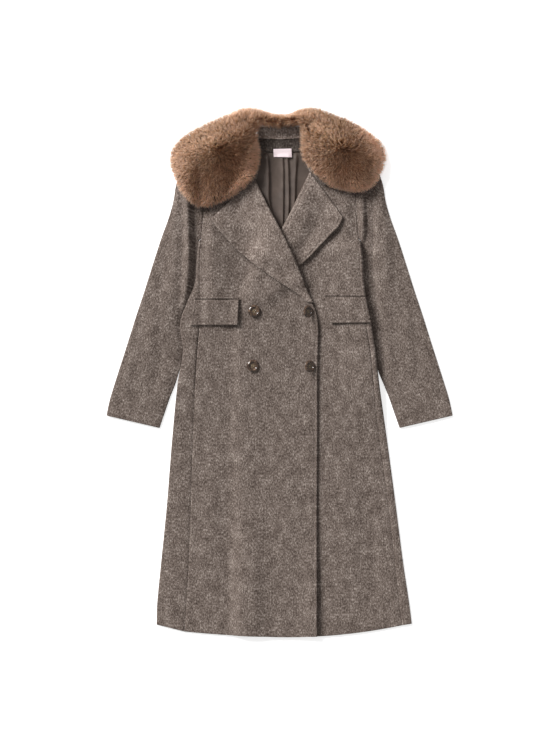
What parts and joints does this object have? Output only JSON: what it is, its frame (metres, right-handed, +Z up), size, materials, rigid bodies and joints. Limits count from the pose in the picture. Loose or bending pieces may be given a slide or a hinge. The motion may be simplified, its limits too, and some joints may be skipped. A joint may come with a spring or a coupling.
{
  "type": "winter coat",
  "caption": "Long double-breasted wool coat laid flat, with wide lapels, flap pockets, rimmed buttons and a large fur collar.",
  "frame": {"origin": "middle of the coat's outline, on the surface that it lies on", "axes": "+X towards the wearer's left sleeve, +Y towards the collar, +Z up from the surface"},
  "size_m": [0.78, 1.1916, 0.0565],
  "materials": {
    "wool": "brown-grey marled wool twill, brushed, matt",
    "fur": "dense long-pile fur, camel brown",
    "satin": "taupe satin lining, soft sheen",
    "label": "blank woven label, pale pink",
    "horn": "polished imitation horn, brown"
  },
  "bodies": {
    "root": {"back": "wool", "side_right": "wool", "side_left": "wool", "front_right": "wool", "front_left": "wool", "facing_right": "wool", "facing_left": "wool", "neck_facing": "wool", "sleeve_right": "wool", "sleeve_left": "wool", "flap_right": "wool", "flap_left": "wool", "under_collar": "wool", "collar_stand": "wool", "fur_collar": "fur", "lining": "satin", "hanging_loop": "satin", "neck_label": "label", "button_upper_right": "horn", "button_upper_left": "horn", "button_lower_right": "horn", "button_lower_left": "horn"}
  },
  "joints": []
}
